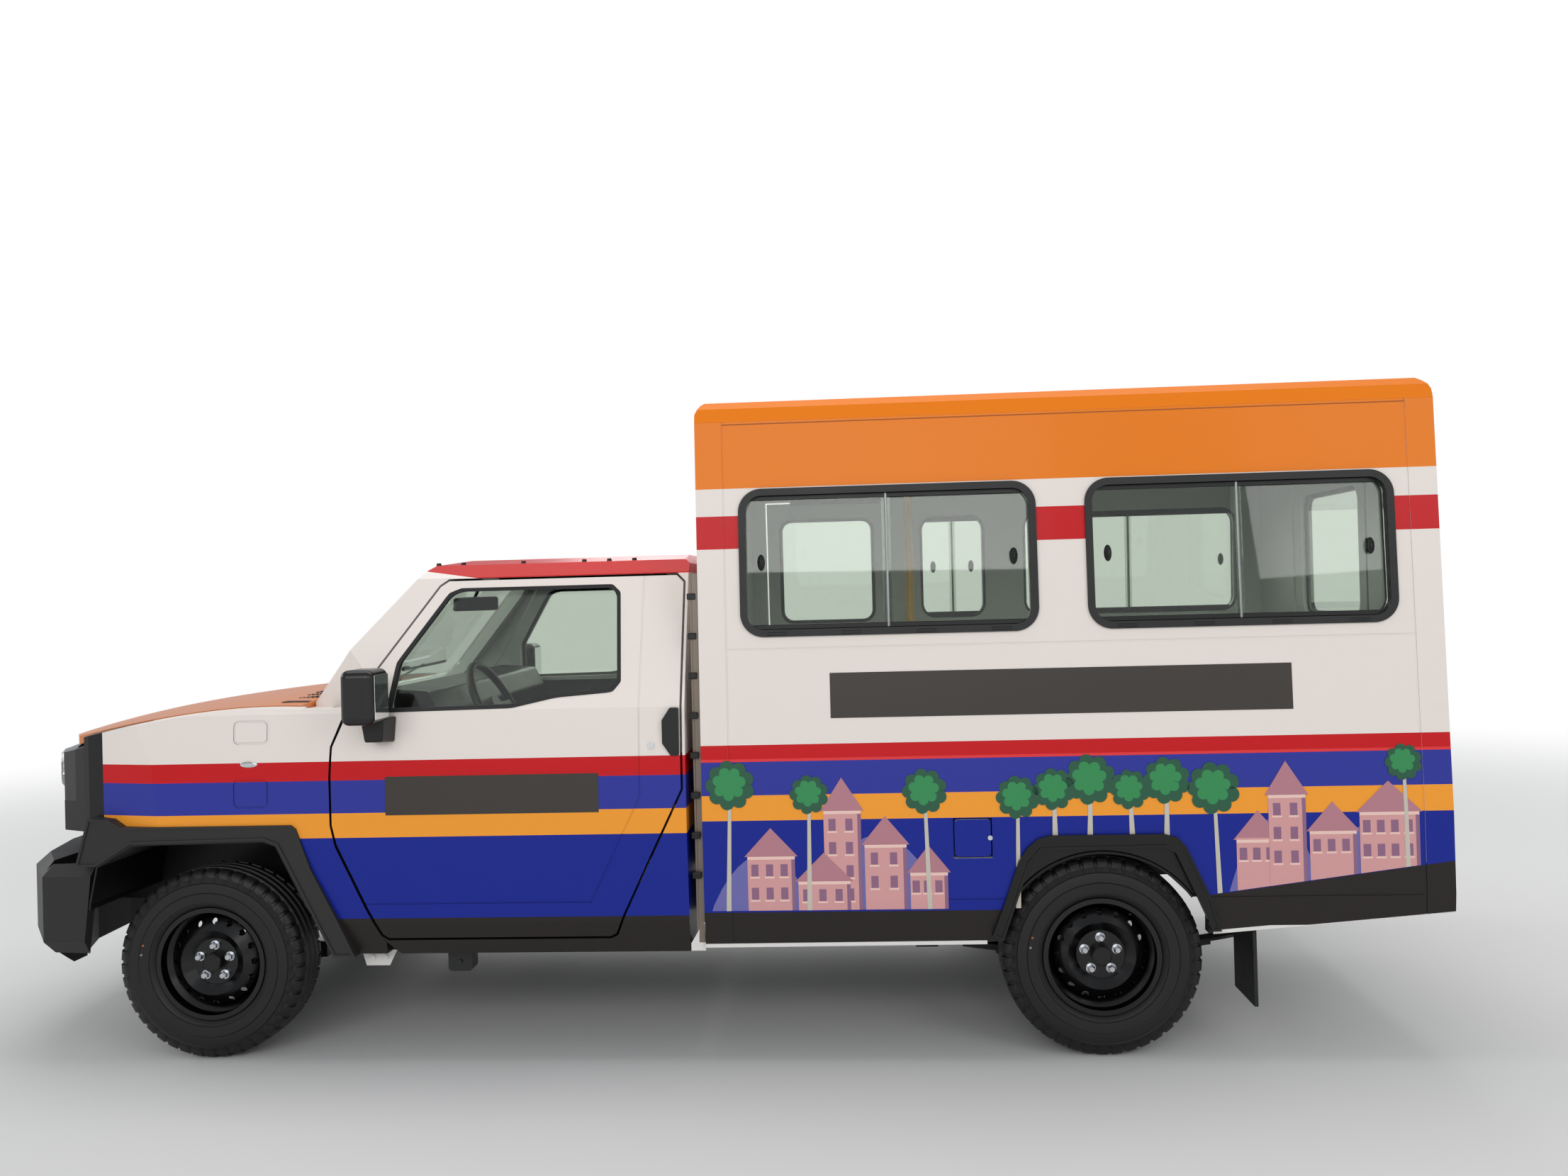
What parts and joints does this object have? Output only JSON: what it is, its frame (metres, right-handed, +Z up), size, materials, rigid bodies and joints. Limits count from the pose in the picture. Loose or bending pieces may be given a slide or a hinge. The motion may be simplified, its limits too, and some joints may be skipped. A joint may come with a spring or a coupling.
{
  "type": "jeepney with a two-door cab and a tall passenger box",
  "caption": "Light chassis-cab jeepney: a cab and a tall windowed passenger box on a ladder frame, with turning wheels, steering, hood and doors.",
  "frame": {"origin": "on the ground under the middle of the overall length and width, with the doors shut", "axes": "+X to the vehicle's rear, +Y to its right-hand side, +Z up"},
  "size_m": [5.085, 2.124, 2.272],
  "materials": {
    "roof_red": "gloss red paint",
    "hood_orange": "gloss copper orange paint",
    "cab_blue": "gloss blue paint",
    "box_white": "gloss white paint",
    "roof_orange": "gloss orange paint",
    "chassis_black": "satin black paint",
    "bare_steel": "plain steel",
    "engine_iron": "rough cast",
    "plastic_black": "grained black plastic",
    "plastic_grey": "textured dark grey plastic",
    "rubber": "soft black rubber",
    "tyre": "road tyre",
    "rim_black": "satin black paint",
    "glass_tint": "tinted glass",
    "lamp": "clear lamp lens",
    "tail_red": "red lamp lens",
    "seat_fabric": "dark seat cloth",
    "bench_vinyl": "dark grey vinyl",
    "stanchion_yellow": "yellow powder coat",
    "floor_grey": "grey floor plate"
  },
  "bodies": {
    "body": {"frame_ladder": "chassis_black", "frame_members": "chassis_black", "tow_eyes": "chassis_black", "sill_brackets": "chassis_black", "engine_block": "engine_iron", "front_suspension": "chassis_black", "rear_axle": "chassis_black", "leaf_springs": "chassis_black", "exhaust": "bare_steel", "fuel_tank": "chassis_black", "cab_shell": "roof_red", "cab_glass": "glass_tint", "dashboard": "plastic_grey", "cab_seats": "seat_fabric", "front_fenders": "cab_blue", "arch_flares": "plastic_black", "wheel_liners": "plastic_black", "nose_panel": "plastic_grey", "head_lamps": "lamp", "front_bumper": "plastic_grey", "box_side_left": "box_white", "box_side_right": "box_white", "window_rubbers": "rubber", "window_panes": "glass_tint", "box_front_wall": "box_white", "box_rear_wall": "box_white", "box_roof": "roof_orange", "box_floor": "floor_grey", "mud_flaps": "rubber", "tail_lamps": "tail_red", "rubber_seals": "rubber", "bench_frames": "bare_steel", "bench_cushions": "bench_vinyl", "grab_rails": "stanchion_yellow"},
    "hood": {"hood": "hood_orange"},
    "cab_door_left": {"cab_door_left": "cab_blue", "door_glass_left": "glass_tint", "mirror_and_handle_left": "plastic_black"},
    "cab_door_right": {"cab_door_right": "cab_blue", "door_glass_right": "glass_tint", "mirror_and_handle_right": "plastic_black"},
    "passenger_door": {"passenger_door": "box_white", "passenger_glass": "glass_tint"},
    "rear_door": {"rear_door": "box_white", "rear_door_glass": "glass_tint"},
    "fuel_flap": {"fuel_flap": "cab_blue"},
    "steering_wheel": {"steering_wheel": "plastic_black"},
    "knuckle_left": {"knuckle_left": "chassis_black"},
    "knuckle_right": {"knuckle_right": "chassis_black"},
    "tie_rod": {"tie_rod": "bare_steel"},
    "wheel_front_left": {"tyre_front_left": "tyre", "rim_front_left": "rim_black"},
    "wheel_front_right": {"tyre_front_right": "tyre", "rim_front_right": "rim_black"},
    "wheel_rear_left": {"tyre_rear_left": "tyre", "rim_rear_left": "rim_black"},
    "wheel_rear_right": {"tyre_rear_right": "tyre", "rim_rear_right": "rim_black"}
  },
  "joints": [
    {"name": "steer_left", "type": "hinge", "parent": "body", "child": "knuckle_left", "pos_m": [-1.6925, -0.7, 0.333], "axis": [0, 0, 1], "range_deg": [-33, 33]},
    {"name": "steer_right", "type": "hinge", "parent": "body", "child": "knuckle_right", "pos_m": [-1.6925, 0.7, 0.333], "axis": [0, 0, 1], "range_deg": [-33, 33]},
    {"name": "steering_wheel_turn", "type": "hinge", "parent": "body", "child": "steering_wheel", "pos_m": [-0.7875, -0.37, 1.168], "axis": [0.891, 0, 0.454], "range_deg": [-500, 500]},
    {"name": "tie_rod_left_end", "type": "hinge", "parent": "knuckle_left", "child": "tie_rod", "pos_m": [-1.5825, -0.7, 0.313], "axis": [0, 0, 1], "range_deg": [-34, 34]},
    {"name": "hood_hinge", "type": "hinge", "parent": "body", "child": "hood", "pos_m": [-1.3625, 0, 1.276], "axis": [0, 1, 0], "range_deg": [0, 50]},
    {"name": "cab_door_left_hinge", "type": "hinge", "parent": "body", "child": "cab_door_left", "pos_m": [-1.2075, -0.887, 0.95], "axis": [0, 0, -1], "range_deg": [0, 70]},
    {"name": "cab_door_right_hinge", "type": "hinge", "parent": "body", "child": "cab_door_right", "pos_m": [-1.2075, 0.887, 0.95], "axis": [0, 0, 1], "range_deg": [0, 70]},
    {"name": "passenger_door_hinge", "type": "hinge", "parent": "body", "child": "passenger_door", "pos_m": [0.1875, 0.884, 1.2], "axis": [0, 0, 1], "range_deg": [0, 90]},
    {"name": "rear_door_hinge", "type": "hinge", "parent": "body", "child": "rear_door", "pos_m": [2.5225, 0.376, 1.2], "axis": [0, 0, 1], "range_deg": [0, 110]},
    {"name": "fuel_flap_hinge", "type": "hinge", "parent": "body", "child": "fuel_flap", "pos_m": [0.9095, -0.882, 0.747], "axis": [0, 0, -1], "range_deg": [0, 100]},
    {"name": "roll_front_left", "type": "hinge", "parent": "knuckle_left", "child": "wheel_front_left", "pos_m": [-1.6925, -0.7525, 0.333], "axis": [0, 1, 0], "continuous": true},
    {"name": "roll_front_right", "type": "hinge", "parent": "knuckle_right", "child": "wheel_front_right", "pos_m": [-1.6925, 0.7525, 0.333], "axis": [0, 1, 0], "continuous": true},
    {"name": "roll_rear_left", "type": "hinge", "parent": "body", "child": "wheel_rear_left", "pos_m": [1.3925, -0.7525, 0.333], "axis": [0, 1, 0], "continuous": true},
    {"name": "roll_rear_right", "type": "hinge", "parent": "body", "child": "wheel_rear_right", "pos_m": [1.3925, 0.7525, 0.333], "axis": [0, 1, 0], "continuous": true}
  ],
  "couplings": [
    {"joint": "steer_right", "follows": "steer_left", "ratio": 1},
    {"joint": "steering_wheel_turn", "follows": "steer_left", "ratio": 15},
    {"joint": "tie_rod_left_end", "follows": "steer_left", "ratio": -1}
  ]
}
